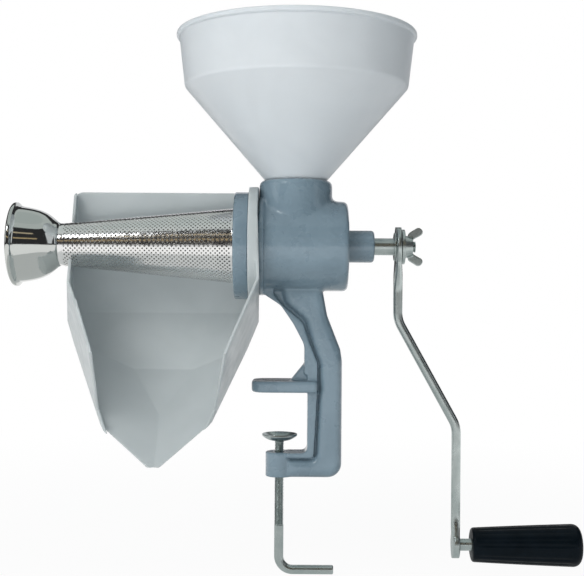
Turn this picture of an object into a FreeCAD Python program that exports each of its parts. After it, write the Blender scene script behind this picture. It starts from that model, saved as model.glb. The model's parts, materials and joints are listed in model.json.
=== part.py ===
"""A hand cranked tomato strainer that clamps to a table edge.

Units are millimetres. The origin is on the underside of the upper jaw, where the table top
rests, straight above the clamp screw. +Z is up, +X points along the shaft to the crank and
+Y points away from the side where the chute pours.
"""
import FreeCAD, Part
import math
import os
import re
from types import SimpleNamespace

import Sketcher
from FreeCAD import Placement, Rotation, Vector

# Driving dimensions

SIZES = {
    # Where the two main axes stand
    "axis_height": 126.0,
    "hopper_offset": 12.8,
    # Gaps between pieces, and how far a cutting tool overshoots
    "running_gap": 0.06,
    "press_gap": 0.02,
    "cut_margin": 1.0,
    # Casting: barrel, neck and shaft boss
    "barrel_radius": 39.0,
    "barrel_bore": 33.0,
    "barrel_start": -19.0,
    "barrel_end": 58.0,
    "end_wall": 6.0,
    "flange_radius": 43.0,
    "flange_width": 5.0,
    "nose_radius": 36.5,
    "nose_end": -36.2,
    "neck_radius": 31.6,
    "neck_rise": 56.7,
    "neck_bore": 26.2,
    "boss_radius": 14.0,
    "boss_length": 23.0,
    "neck_round": 5.0,
    "seam_round": 4.0,
    "barrel_round": 4.0,
    "boss_round": 2.5,
    # Casting: bracket and table clamp
    "spine_depth": 26.0,
    "spine_round": 7.0,
    "web_depth": 12.0,
    "web_left": -15.0,
    "waist_left": 21.0,
    "groove_width": 1.9,
    "strip_width": 8.4,
    "arm_strip": 4.0,
    "pocket_height": 5.2,
    "jaw_left": -24.3,
    "jaw_round": 12.0,
    "jaw_edge_round": 2.0,
    "jaw_depth": 40.0,
    "jaw_thickness": 9.8,
    "throat_depth": 24.0,
    "throat_round": 5.0,
    "throat_height": 52.4,
    "arm_thickness": 21.3,
    "spine_right": 53.7,
    "spine_corner": 12.0,
    "boss_screw_radius": 12.0,
    # Hopper
    "hopper_rim": 104.0,
    "hopper_lip": 2.2,
    "hopper_lip_height": 4.0,
    "hopper_fold": 96.8,
    "hopper_band": 46.5,
    "hopper_cone": 80.5,
    "hopper_neck": 27.7,
    "hopper_seat": 1.0,
    "spigot_length": 25.0,
    "hopper_wall": 2.0,
    "spigot_gap": 0.4,
    # Sieve, bell and lock ring
    "sieve_large": 33.2,
    "sieve_small": 18.2,
    "sieve_play": 0.4,
    "sieve_end": -191.0,
    "sieve_wall": 0.8,
    "sieve_flange": 35.8,
    "sieve_flange_width": 1.2,
    "bell_radius": 33.0,
    "bell_lip": 36.5,
    "bell_bead": 2.2,
    "bell_end": -231.5,
    "bell_wall": 1.2,
    "bell_sleeve": 12.0,
    "ring_radius": 46.5,
    "ring_bevel": 1.5,
    "ring_start": -39.9,
    "ring_end": -27.5,
    "thread_gap": 0.3,
    # Chute
    "chute_wall": 2.5,
    "chute_back": 52.5,
    "chute_rise": 50.0,
    "chute_left": -195.9,
    "chute_left_top": -190.5,
    "chute_left_peak": -176.0,
    "chute_left_low": -157.0,
    "chute_right": -20.2,
    "chute_right_top": -21.5,
    "chute_right_peak": -17.0,
    "chute_right_low": -56.5,
    "chute_middle": -104.5,
    "chute_front": 50.0,
    "chute_peak_drop": 28.4,
    "chute_knee": 78.0,
    "chute_knee_drop": 89.0,
    "chute_foot": 7.0,
    "chute_foot_drop": 151.0,
    "chute_tip_drop": 187.0,
    "chute_point_drop": 191.0,
    "chute_valley_drop": 158.0,
    "chute_side_drop": 69.0,
    "chute_bend_drop": 60.5,
    "chute_upper_slope": 69.6,
    "chute_fold": 33.5,
    "chute_lower_slope": 50.0,
    "chute_spout_slope": 44.0,
    "chute_spout_tilt": 11.0,
    "chute_lip_rise": 15.0,
    "chute_corner": 9.0,
    "chute_hub_radius": 51.0,
    "chute_hub_left": -27.3,
    "chute_hub_right": -19.2,
    "hub_gap": 0.4,
    "notch_radius": 22.0,
    "notch_drop": 12.0,
    # Auger and shaft
    "shaft_radius": 7.4,
    "shaft_left": 8.0,
    "shaft_shoulder": 99.6,
    "stud_radius": 5.0,
    "stud_end": 117.0,
    "auger_core": 12.5,
    "auger_core_tip": 8.0,
    "auger_gap": 1.2,
    "auger_pitch": 31.0,
    "auger_blade": 3.4,
    "auger_tip": -176.0,
    "pin_radius": 2.0,
    "pin_offset": 42.0,
    "pin_margin": 4.6,
    "auger_wall": 1.5,
    "washer_width": 2.0,
    "washer_gap": 0.3,
    "thrust_radius": 13.5,
    "bush_radius": 9.6,
    "bush_recess": 1.0,
    "seal_radius": 11.5,
    "seal_width": 3.0,
    # Crank and handle
    "rod_radius": 4.0,
    "eye_radius": 17.2,
    "eye_width": 5.1,
    "collar_radius": 12.2,
    "collar_width": 1.2,
    "crank_throw": 258.6,
    "crank_offset": 51.5,
    "upper_bend": 62.6,
    "lower_bend": -29.6,
    "bend_radius": 24.0,
    "paddle_radius": 11.6,
    "paddle_width": 6.4,
    "flat_length": 12.0,
    "outer_washer_radius": 15.2,
    "outer_washer_width": 2.8,
    "nut_foot_radius": 10.2,
    "nut_top_radius": 8.0,
    "nut_hub_width": 7.0,
    "nut_wing_span": 35.0,
    "nut_wing_width": 3.4,
    "nut_wing_rise": 11.0,
    "nut_wing_root": 3.0,
    "nut_wing_tip": 5.5,
    "nut_wing_round": 3.4,
    "spindle_radius": 5.2,
    "spindle_tail": 1.4,
    "rivet_radius": 3.9,
    "grip_start": 167.2,
    "grip_end": 261.9,
    "grip_inner_radius": 14.8,
    "grip_outer_radius": 18.3,
    "grip_chamfer": 1.6,
    "grip_dome": 5.0,
    "cap_radius": 9.0,
    "cap_depth": 9.0,
    "cap_width": 5.0,
    "cap_crown": 1.0,
    "cap_proud": 0.2,
    "retainer_radius": 8.0,
    "retainer_width": 1.6,
    # Clamp screw and pad
    "screw_radius": 4.0,
    "screw_gap": 0.08,
    "screw_bottom": -155.2,
    "screw_leg": 47.4,
    "screw_bend": 12.0,
    "pad_radius": 15.5,
    "pad_top": -37.1,
    "pad_thickness": 2.0,
    "pad_dish": 3.8,
    "pad_lip": 1.6,
    "pad_hub_radius": 4.6,
    "pad_stem_radius": 2.6,
    "stem_proud": 1.0,
    "rivet_head": 1.8,
}

doc = FreeCAD.newDocument("tomato_strainer")
sheet = doc.addObject("Spreadsheet::Sheet", "sizes")
for row, (name, value) in enumerate(SIZES.items(), start=1):
    sheet.set(f"A{row}", name)
    sheet.set(f"B{row}", str(value))
    sheet.setAlias(f"B{row}", name)
doc.recompute()
s = SimpleNamespace(**{name: float(sheet.get(name)) for name in SIZES})

X_AXIS = Vector(1, 0, 0)
Y_AXIS = Vector(0, 1, 0)
Z_AXIS = Vector(0, 0, 1)
ALONG_X = Rotation(Y_AXIS, 90)
UPRIGHT = Rotation()
TOUCH = 1e-4
# Points that a helix is drawn through in each turn
TURN_STEPS = 24
# The crank's pressed ends, as shares of the disc's radius
DISC_INSET = 0.5
WEDGE_START = 0.75
WEDGE_LENGTH = 2.0
WORD = re.compile(r"[a-z][a-z_]*")

parts = []


def bound(text):
    """An expression in which every size is read from its cell."""
    return WORD.sub(lambda word: "sizes." + word.group(0) if word.group(0) in SIZES else word.group(0), text)


def put(thing, rotation, x="0", y="0", z="0"):
    """Places an object, with its position bound to the cells."""
    thing.Placement = Placement(Vector(), rotation)
    for key, text in (("x", x), ("y", y), ("z", z)):
        thing.setExpression(f"Placement.Base.{key}", bound(text))
    return thing


def sub_part(thing, label):
    """Names an object as a piece of its own."""
    thing.Label = label
    parts.append(thing)
    return thing


def origin_plane(body, role):
    """One of a body's own three base planes."""
    return next(plane for plane in body.Origin.OriginFeatures if plane.Role == role)


def outline_sketch(body, name, role, outline):
    """A closed polygon whose every corner is bound to the cells, each corner a pair of expressions."""
    sketch = body.newObject("Sketcher::SketchObject", name)
    sketch.AttachmentSupport = (origin_plane(body, role), [""])
    sketch.MapMode = "FlatFace"
    count = len(outline)
    rough = [Vector(math.cos(math.tau * i / count) + 2, math.sin(math.tau * i / count) + 2, 0) for i in range(count)]
    for i in range(count):
        sketch.addGeometry(Part.LineSegment(rough[i], rough[(i + 1) % count]), False)
    for i in range(count):
        sketch.addConstraint(Sketcher.Constraint("Coincident", i, 2, (i + 1) % count, 1))
    for i, corner in enumerate(outline):
        for kind, axis, text in (("DistanceX", -2, corner[0]), ("DistanceY", -1, corner[1])):
            if text == "0":
                sketch.addConstraint(Sketcher.Constraint("PointOnObject", i, 1, axis))
                continue
            index = sketch.addConstraint(Sketcher.Constraint(kind, -1, 1, i, 1, 1.0))
            sketch.setExpression(f"Constraints[{index}]", bound(text))
    return sketch


def turned(name, outline):
    """A body turned about its own Z axis from corners of (radius, height)."""
    body = doc.addObject("PartDesign::Body", name)
    sketch = outline_sketch(body, name + "_outline", "XZ_Plane", outline)
    revolution = body.newObject("PartDesign::Revolution", name + "_turned")
    revolution.Profile = sketch
    revolution.ReferenceAxis = (sketch, ["V_Axis"])
    revolution.Angle = 360
    sketch.Visibility = False
    return body


def tube(name, outer, inner, length):
    """A plain ring or tube that stands on its own base plane."""
    return turned(name, [(inner, "0"), (outer, "0"), (outer, length), (inner, length)])


def cylinder(name, radius, height, rotation, x="0", y="0", z="0"):
    """A Part cylinder bound to the cells."""
    solid = doc.addObject("Part::Cylinder", name)
    solid.setExpression("Radius", bound(radius))
    solid.setExpression("Height", bound(height))
    return put(solid, rotation, x, y, z)


def fused(name, things):
    """One solid out of several that overlap."""
    result = doc.addObject("Part::MultiFuse", name)
    result.Shapes = things
    result.Refine = True
    return result


def rounded(name, base, radius, chosen):
    """A base with each chosen edge rounded."""
    doc.recompute()
    result = doc.addObject("Part::Fillet", name)
    result.Base = base
    result.Edges = [(i, radius, radius) for i, edge in enumerate(base.Shape.Edges, start=1) if chosen(edge)]
    return result


def cut_from(name, base, tool):
    """A base less a tool."""
    result = doc.addObject("Part::Cut", name)
    result.Base = base
    result.Tool = tool
    return result


def shaped(name, shape, placement=None):
    """A feature whose shape is worked out here from the cells."""
    feature = doc.addObject("Part::Feature", name)
    feature.Shape = shape
    feature.Placement = placement or Placement()
    return feature


def rounded_wire(corners, closed):
    """A wire through corners of (point, radius), each turned by a tangent arc."""
    count = len(corners)
    turns = []
    for i, (point, radius) in enumerate(corners):
        if radius == 0 or (not closed and i in (0, count - 1)):
            turns.append((point, None, point))
            continue
        back = (corners[i - 1][0] - point).normalize()
        ahead = (corners[(i + 1) % count][0] - point).normalize()
        half = back.getAngle(ahead) / 2
        reach = radius / math.tan(half)
        middle = point + (back + ahead).normalize() * (radius / math.sin(half) - radius)
        turns.append((point + back * reach, middle, point + ahead * reach))
    edges = []
    for i, (enter, middle, leave) in enumerate(turns):
        if middle is not None:
            edges.append(Part.Arc(enter, middle, leave).toShape())
        if closed or i < count - 1:
            start = turns[(i + 1) % count][0]
            if leave.distanceToPoint(start) > TOUCH:
                edges.append(Part.LineSegment(leave, start).toShape())
    return Part.Wire(edges)


def upright_slab(corners, depth, edge_round=0.0):
    """A slab centred on the middle plane, from corners of (x, z, radius), with both faces' edges rounded."""
    wire = rounded_wire([(Vector(x, -depth / 2, z), radius) for x, z, radius in corners], True)
    slab = Part.Face(wire).extrude(Vector(0, depth, 0))
    if edge_round == 0:
        return slab
    on_faces = [edge for edge in slab.Edges if abs(abs(edge.CenterOfMass.y) - depth / 2) < TOUCH]
    return slab.makeFillet(edge_round, on_faces)


def beyond(point, normal):
    """A large block that fills the side of a plane that normal points to."""
    reach = 4 * (s.barrel_end - s.chute_left + s.crank_throw)
    solid = Part.makeBox(reach, reach, reach, Vector(-reach / 2, -reach / 2, 0))
    solid.Placement = Placement(point, Rotation(Z_AXIS, normal))
    return solid


# Casting


def bracket_corner(across, up, radius=16.0):
    """A corner of the bracket, as shares of the way from its waist to its left end and from the jaw to the barrel."""
    barrel_foot = s.axis_height - s.barrel_radius
    x = s.waist_left + across * (s.web_left - s.waist_left)
    return (x, s.jaw_thickness + up * (barrel_foot - s.jaw_thickness), radius)


def inside_barrel(x):
    """A square corner just inside the barrel's wall."""
    return (x, s.axis_height - s.barrel_bore - 1, 0)


def outer_edge():
    """The bracket's right edge, from the screw's boss round the foot and up to the barrel."""
    right = s.spine_right
    arm_low = -s.throat_height - s.arm_thickness
    shoulder = [(right, 0.22), (right - 1.5, 0.345), (right - 13.2, 0.73)]
    heights = [(x, bracket_corner(0, up)[1], s.spine_corner) for x, up in shoulder]
    return [(s.boss_screw_radius / 2, arm_low, 0), (right, arm_low, s.spine_corner), *heights,
            inside_barrel(right - 18)]


def left_edge():
    """The bracket's concave left edge, from the barrel down to the waist."""
    return [
        inside_barrel(s.web_left),
        bracket_corner(1, 0.97, 0),
        bracket_corner(0.57, 0.84),
        bracket_corner(0.26, 0.63),
        bracket_corner(0, 0.4),
    ]


def throat_edge(step, corner_round):
    """The wall of the table gap, a step behind its face, down to the screw's boss."""
    x = s.throat_depth + step
    z = -s.throat_height - step
    return [(x, z, corner_round), (s.boss_screw_radius / 2, z, 0)]


def web():
    """The middle plate of the bracket, with the small gusset above the jaw."""
    corners = left_edge() + [
        bracket_corner(0, 0.19, s.throat_round),
        (s.boss_screw_radius * 0.7, s.jaw_thickness - 1, 0),
        (s.boss_screw_radius * 0.7, 1, 0),
        (s.throat_depth, 1, 0),
    ] + throat_edge(0, s.throat_round) + outer_edge()
    return upright_slab(corners, s.web_depth)


def strip():
    """The flat flange that follows the bracket's left edge, the table gap and the lower arm."""
    right = s.throat_depth + s.strip_width
    pocket = s.jaw_thickness + s.pocket_height
    low = -s.throat_height - s.arm_strip
    corners = left_edge() + [
        (s.waist_left, pocket, 1.5),
        (s.throat_depth, pocket, 1.0),
    ] + throat_edge(0, s.throat_round) + [
        (s.boss_screw_radius / 2, low, 0),
        (right - 3, low, 2),
        (right - 1.4, low / 2, 12),
        (right, 3, 12),
        (right, bracket_corner(0, 0.2)[1], 8),
        bracket_corner(-0.11, 0.44, 12),
        bracket_corner(0.04, 0.65, 12),
        bracket_corner(0.53, 0.84, 12),
        bracket_corner(0.75, 0.96, 0),
        inside_barrel(bracket_corner(0.75, 1)[0]),
    ]
    return upright_slab(corners, s.spine_depth)


def spine():
    """The bulged outer bar of the bracket, across a narrow groove from the strip."""
    left = s.throat_depth + s.strip_width + s.groove_width
    low = -s.throat_height - s.arm_strip - s.groove_width
    corners = outer_edge() + [
        inside_barrel(bracket_corner(0.57, 1)[0]),
        bracket_corner(0.47, 0.865, 12),
        bracket_corner(-0.01, 0.68, 12),
        bracket_corner(-0.17, 0.44, 12),
        (left, bracket_corner(0, 0.19)[1], 12),
        (left, 3, 12),
        (left - 1.6, low / 2, 12),
        (left - 2.6, low, 7),
        (s.boss_screw_radius / 2, low, 0),
    ]
    return upright_slab(corners, s.spine_depth, s.spine_round)


def jaw():
    """The upper jaw, a plate with a rounded front end."""
    half = s.jaw_depth / 2
    back = s.throat_depth + s.strip_width
    corners = [
        (Vector(s.jaw_left, -half, 0), s.jaw_round),
        (Vector(back, -half, 0), 3.0),
        (Vector(back, half, 0), 3.0),
        (Vector(s.jaw_left, half, 0), s.jaw_round),
    ]
    plate = Part.Face(rounded_wire(corners, True)).extrude(Vector(0, 0, s.jaw_thickness))
    return plate.makeFillet(s.jaw_edge_round, plate.Edges)


def at_end(axis, place):
    """A test for the round edge that lies at a place along an axis."""
    return lambda edge: len(edge.Vertexes) == 1 and abs(edge.CenterOfMass.dot(axis) - place) < TOUCH


barrel = cylinder("barrel", "barrel_radius", "barrel_end - barrel_start", ALONG_X, "barrel_start", "0", "axis_height")
barrel = rounded("barrel_rounded", barrel, s.barrel_round, at_end(X_AXIS, s.barrel_end))
neck = cylinder("neck", "neck_radius", "neck_rise", UPRIGHT, "hopper_offset", "0", "axis_height")
neck = rounded("neck_rounded", neck, s.neck_round, at_end(Z_AXIS, s.axis_height + s.neck_rise))
seam = fused("barrel_and_neck", [barrel, neck])
shell = rounded("casting_shell", seam, s.seam_round, lambda edge: edge.Curve.TypeId == "Part::GeomBSplineCurve")
boss = cylinder("shaft_boss", "boss_radius", "boss_length + cut_margin", ALONG_X,
                "barrel_end - cut_margin", "0", "axis_height")
boss = rounded("boss_rounded", boss, s.boss_round, at_end(X_AXIS, s.barrel_end + s.boss_length))
outside = fused("casting_outside", [
    shell,
    boss,
    cylinder("flange", "flange_radius", "flange_width", ALONG_X, "barrel_start", "0", "axis_height"),
    cylinder("nose", "nose_radius", "barrel_start - nose_end + cut_margin", ALONG_X, "nose_end", "0", "axis_height"),
    cylinder("screw_boss", "boss_screw_radius", "arm_thickness", UPRIGHT, "0", "0", "-throat_height - arm_thickness"),
    shaped("bracket_web", web()),
    shaped("bracket_strip", strip()),
    shaped("bracket_spine", spine()),
    shaped("upper_jaw", jaw()),
])
hollow = fused("casting_hollow", [
    cylinder("barrel_hollow", "barrel_bore", "barrel_end - end_wall - nose_end + cut_margin", ALONG_X,
             "nose_end - cut_margin", "0", "axis_height"),
    cylinder("neck_hollow", "neck_bore", "neck_rise + cut_margin", UPRIGHT,
             "hopper_offset", "0", "axis_height"),
    cylinder("bush_hollow", "bush_radius", "boss_length + end_wall + 2 * cut_margin", ALONG_X,
             "barrel_end - end_wall - cut_margin", "0", "axis_height"),
    cylinder("screw_hollow", "screw_radius + screw_gap", "arm_thickness + 2 * cut_margin", UPRIGHT,
             "0", "0", "-throat_height - arm_thickness - cut_margin"),
])
sub_part(cut_from("casting", outside, hollow), "body_casting")

# Hopper

SPIGOT = "neck_bore - spigot_gap"
HOPPER_TOP = "spigot_length + hopper_cone + hopper_band"
hopper = turned("hopper_bowl", [
    (f"{SPIGOT} - hopper_wall", "0"),
    (SPIGOT, "0"),
    (SPIGOT, "spigot_length"),
    ("hopper_neck", "spigot_length + hopper_seat"),
    ("hopper_fold", "spigot_length + hopper_cone"),
    ("hopper_rim - hopper_lip", f"{HOPPER_TOP} - hopper_lip_height"),
    ("hopper_rim", f"{HOPPER_TOP} - hopper_lip_height"),
    ("hopper_rim", HOPPER_TOP),
    ("hopper_rim - hopper_lip - hopper_wall", HOPPER_TOP),
    ("hopper_fold - hopper_wall", "spigot_length + hopper_cone + 0.5 * hopper_wall"),
    (f"{SPIGOT} - hopper_wall", "spigot_length + 1.5 * hopper_wall"),
])
put(hopper, UPRIGHT, "hopper_offset", "0", "axis_height + neck_rise - spigot_length")
sub_part(hopper, "hopper")

# Sieve, bell outlet and lock ring

CONE_LENGTH = "(nose_end - sieve_flange_width - sieve_end)"
sieve = turned("sieve_wall_cone", [
    ("sieve_small - sieve_wall", "0"),
    ("sieve_small", "0"),
    ("sieve_large - sieve_play", CONE_LENGTH),
    ("sieve_flange", CONE_LENGTH),
    ("sieve_flange", f"{CONE_LENGTH} + sieve_flange_width"),
    ("sieve_large - sieve_wall - sieve_play", f"{CONE_LENGTH} + sieve_flange_width"),
])
put(sieve, ALONG_X, "sieve_end", "0", "axis_height")
sub_part(sieve, "sieve_cone")


def bell():
    """A spun trumpet: a sleeve in the sieve, a bowl that opens to the left and a rolled bead."""
    wall = s.bell_wall
    bead = s.bell_bead
    bowl = s.bell_radius
    # Heights run from the rim to the sieve
    depth = s.sieve_end - s.bell_end
    sleeve = s.sieve_small - s.sieve_wall - s.thread_gap
    sleeve_end = depth + s.bell_sleeve
    waist = Vector(s.sieve_small, 0, depth)
    bend = Vector(bowl * 0.73, 0, depth * 0.83)
    shoulder = Vector(bowl * 0.91, 0, depth * 0.56)
    rim_turn = Vector(bowl * 0.985, 0, depth * 0.33)
    rim = Vector(bowl, 0, bead * 1.6)
    bead_back = Vector(bowl + bead * 1.3, 0, bead * 1.5)
    bead_side = Vector(s.bell_lip, 0, bead * 0.8)
    bead_front = Vector(s.bell_lip - bead * 0.7, 0, 0)
    mouth = Vector(bowl - wall, 0, bead * 1.2)
    inset = Vector(-0.8 * wall, 0, -0.45 * wall)
    neck_inside = Vector(sleeve - wall, 0, depth - wall)
    sleeve_corners = [
        neck_inside,
        Vector(sleeve - wall, 0, sleeve_end),
        Vector(sleeve, 0, sleeve_end),
        Vector(sleeve, 0, depth),
        waist,
    ]
    arcs = [
        (waist, bend, shoulder),
        (shoulder, rim_turn, rim),
        (rim, bead_back, bead_side),
        (bead_side, bead_front, mouth),
        (mouth, rim_turn + inset, shoulder + inset),
        (shoulder + inset, bend + inset, neck_inside),
    ]
    edges = [Part.Arc(*arc).toShape() for arc in arcs]
    edges += [Part.LineSegment(*pair).toShape() for pair in zip(sleeve_corners, sleeve_corners[1:])]
    return Part.Face(Part.Wire(edges)).revolve(Vector(), Z_AXIS, 360)


sub_part(shaped("bell", bell(), Placement(Vector(s.bell_end, 0, s.axis_height), ALONG_X)), "bell_outlet")

ring = turned("ring", [
    ("sieve_large + thread_gap", "0"),
    ("ring_radius - ring_bevel", "0"),
    ("ring_radius", "ring_bevel"),
    ("ring_radius", "ring_end - ring_start"),
    ("nose_radius + thread_gap", "ring_end - ring_start"),
    ("nose_radius + thread_gap", "nose_end - sieve_flange_width - thread_gap - ring_start"),
    ("sieve_large + thread_gap", "nose_end - sieve_flange_width - thread_gap - ring_start"),
])
put(ring, ALONG_X, "ring_start", "0", "axis_height")
sub_part(ring, "lock_ring")

# Chute


def slope_normal(degrees, tilt=0.0):
    """The outward normal of a floor that falls towards the front, tilted to one side."""
    slope = math.radians(degrees)
    lean = math.radians(tilt)
    return Vector(math.sin(lean), math.cos(lean) * math.sin(slope), -math.cos(lean) * math.cos(slope))


def plane_normal(first, second, third, towards):
    """The normal of the plane through three points, on the side of a fourth."""
    normal = (second - first).cross(third - first).normalize()
    return normal if normal.dot(towards - first) > 0 else -normal


def below_axis(x, y, drop):
    """A point given by its drop below the shaft's axis."""
    return Vector(x, y, s.axis_height - drop)


def chute_planes():
    """The flat outer sides of the chute, each a point and an outward normal."""
    fold_drop = s.chute_bend_drop + (s.chute_back - s.chute_fold) * math.tan(math.radians(s.chute_upper_slope))
    back_fold = below_axis(s.chute_middle, s.chute_fold, fold_drop)
    bend = below_axis(s.chute_middle, s.chute_back, s.chute_bend_drop)
    valley = below_axis(s.chute_middle, -s.chute_foot, s.chute_valley_drop)
    left_base = below_axis(s.chute_left, s.chute_back, s.chute_side_drop)
    left_low = below_axis(s.chute_left_low, -s.chute_foot, s.chute_foot_drop)
    left_peak = below_axis(s.chute_left_peak, -s.chute_front, s.chute_peak_drop)
    left_top = below_axis(s.chute_left_top, s.chute_back, -0.8 * s.chute_rise)
    right_base = below_axis(s.chute_right, s.chute_back, s.chute_side_drop)
    right_low = below_axis(s.chute_right_low, -s.chute_foot, s.chute_foot_drop)
    right_peak = below_axis(s.chute_right_peak, -s.chute_front, s.chute_peak_drop)
    right_top = below_axis(s.chute_right_top, 0, -0.84 * s.chute_rise)
    far_left = 3 * left_base
    far_right = -far_left
    return [
        (bend, Y_AXIS),
        (bend, slope_normal(s.chute_upper_slope)),
        (back_fold, slope_normal(s.chute_lower_slope)),
        (valley, slope_normal(s.chute_spout_slope, s.chute_spout_tilt)),
        (valley, slope_normal(s.chute_spout_slope, -s.chute_spout_tilt)),
        (left_base, plane_normal(left_base, left_low, left_peak, far_left)),
        (left_base, plane_normal(left_base, left_peak, left_top, far_left)),
        (right_base, plane_normal(right_base, right_low, right_peak, far_right)),
        (right_base, plane_normal(right_base, right_peak, right_top, far_right)),
    ]


def chute_front():
    """What is cut from the chute's open front: upright at the shoulders, then slanted, then square to the floor."""
    floor = slope_normal(s.chute_lower_slope)
    shoulder = below_axis(0, -s.chute_front, s.chute_peak_drop)
    knee = below_axis(0, -s.chute_knee, s.chute_knee_drop)
    foot = below_axis(0, -s.chute_foot, s.chute_foot_drop)
    upper = beyond(shoulder, -Y_AXIS).cut(beyond(shoulder, -Z_AXIS))
    slant = beyond(shoulder, X_AXIS.cross(shoulder - knee).normalize()).cut(beyond(shoulder, Z_AXIS))
    end = beyond(foot, X_AXIS.cross(knee - foot).normalize())
    end = end.cut(beyond(foot - floor * s.chute_lip_rise, floor))
    tools = [upper, slant, end]
    point = below_axis(s.chute_middle, 0, s.chute_point_drop)
    for x in (s.chute_left_low, s.chute_right_low):
        corner = below_axis(x, 0, s.chute_foot_drop)
        below = corner - 3 * s.axis_height * Z_AXIS
        tools.append(beyond(corner, plane_normal(corner, point, corner + Y_AXIS, below)))
    tools.append(beyond(below_axis(0, 0, s.chute_tip_drop), -Z_AXIS))
    # The left wall's top falls towards the front
    shoulder_top = below_axis(0, s.chute_back - s.chute_corner, -s.chute_rise)
    left_only = beyond(below_axis(s.chute_left_peak + s.chute_corner, 0, 0), -X_AXIS)
    tools.append(beyond(shoulder_top, Z_AXIS - Y_AXIS).common(left_only))
    return tools


def chute():
    """A scoop behind and below the sieve, clamped by a hub between the lock ring and the flange."""
    margin = 20.0
    width = s.chute_right_peak - s.chute_left + 2 * margin
    depth = 2 * (s.chute_knee + margin)
    height = s.chute_rise + s.chute_point_drop + 2 * margin
    corner = below_axis(s.chute_left - margin, -depth / 2, s.chute_point_drop + margin)
    solid = Part.makeBox(width, depth, height, corner)
    hollow = solid.copy()
    for point, normal in chute_planes():
        solid = solid.cut(beyond(point, normal))
        hollow = hollow.cut(beyond(point - normal * s.chute_wall, normal))
    shell = solid.cut(hollow).cut(beyond(below_axis(0, 0, -s.chute_rise), Z_AXIS))
    for tool in chute_front():
        shell = shell.cut(tool)

    def on_axis(radius, start, end):
        return Part.makeCylinder(radius, end - start, below_axis(start, 0, 0), X_AXIS)

    # The upper left corner is rounded
    pivot = below_axis(s.chute_left_top + s.chute_corner, -depth / 2, s.chute_corner - s.chute_rise)
    block = Part.makeBox(2 * s.chute_corner, depth, 2 * s.chute_corner, pivot - 2 * s.chute_corner * X_AXIS)
    shell = shell.cut(block.cut(Part.makeCylinder(s.chute_corner, depth, pivot, Y_AXIS)))
    # Way for the sieve's neck on the left, open to the front
    notch_start = s.chute_left - margin
    notch_end = s.chute_left_peak + margin
    reach = s.chute_front + s.notch_radius
    gate = Part.makeBox(notch_end - notch_start, 2 * reach, 2 * reach,
                        below_axis(notch_start, s.notch_radius - 2 * reach, s.notch_drop))
    shell = shell.cut(on_axis(s.notch_radius, notch_start, notch_end)).cut(gate)
    # The hub on the right, with the upper front corner rounded about it
    hub_start = s.chute_hub_left - 1.5 * margin
    front = Part.makeBox(2 * margin - hub_start, 3 * s.chute_front, 3 * s.chute_front,
                         below_axis(hub_start, -3 * s.chute_front, 0))
    shell = shell.cut(front.cut(on_axis(s.chute_hub_radius, hub_start, 2 * margin)))
    shell = shell.fuse(on_axis(s.chute_hub_radius, s.chute_hub_left, s.chute_hub_right))
    shell = shell.cut(on_axis(s.nose_radius + s.hub_gap, hub_start, margin))
    return shell.cut(on_axis(s.flange_radius + s.hub_gap, s.chute_hub_right, margin)).removeSplitter()


sub_part(shaped("scoop", chute()), "chute")

# Auger and shaft


def blade_radius(rise):
    """The outer radius of the auger's blade at a height above its tip, in line with the sieve."""
    along_cone = (s.nose_end - s.auger_tip - rise) / (s.nose_end - s.sieve_end)
    cone = s.sieve_large - (s.sieve_large - s.sieve_small) * max(along_cone, 0)
    return cone - s.sieve_wall - s.thread_gap - s.auger_gap


def spiral(height, lift, radius_at):
    """A helix whose radius follows a function of its height."""
    count = round(height / s.auger_pitch * TURN_STEPS)
    points = []
    for i in range(count + 1):
        rise = height * i / count
        turn = math.tau * rise / s.auger_pitch
        points.append(Vector(radius_at(rise) * math.cos(turn), radius_at(rise) * math.sin(turn), rise + lift))
    curve = Part.BSplineCurve()
    curve.interpolate(points)
    return curve.toShape()


def auger_blade(height):
    """The screw's blade, ruled between a helix inside the core and one at the outer edge."""

    def root(rise):
        return s.auger_core_tip - s.auger_wall

    low_root, low_edge, top_root, top_edge = (
        spiral(height, lift, radius) for lift in (0, s.auger_blade) for radius in (root, blade_radius))
    pairs = ((low_root, low_edge), (top_root, top_edge), (low_root, top_root), (low_edge, top_edge))
    faces = [Part.makeRuledSurface(first, second) for first, second in pairs]
    for end in (0, -1):
        corners = [edge.Vertexes[end].Point for edge in (low_root, low_edge, top_edge, top_root)]
        faces.append(Part.Face(Part.makePolygon(corners + corners[:1])))
    shell = Part.makeShell(faces)
    shell.sewShape()
    solid = Part.makeSolid(shell)
    if solid.Volume < 0:
        solid.reverse()
    return solid


def auger():
    """A tapered screw: core, blade and a socket for the shaft."""
    right = s.barrel_end - s.end_wall - s.washer_gap - s.washer_width - s.seal_width
    length = right - s.auger_tip
    socket_start = s.shaft_left - s.auger_tip - s.thread_gap
    pin_rise = s.pin_offset - s.auger_tip
    core = Part.makeCone(s.auger_core_tip, s.auger_core, length)
    core = core.cut(Part.makeCylinder(s.shaft_radius + s.running_gap, length, Vector(0, 0, socket_start)))
    core = core.cut(Part.makeCylinder(s.pin_radius, 4 * s.auger_core, Vector(-2 * s.auger_core, 0, pin_rise), X_AXIS))
    blade = auger_blade(pin_rise - s.pin_radius - s.auger_blade - s.pin_margin)
    clear = Part.makeCylinder(s.shaft_radius + s.auger_wall, length, Vector(0, 0, socket_start - 2 * s.auger_wall))
    return core.fuse(blade.cut(clear))


sub_part(shaped("auger_screw", auger(), Placement(Vector(s.auger_tip, 0, s.axis_height), ALONG_X)), "auger")

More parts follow.
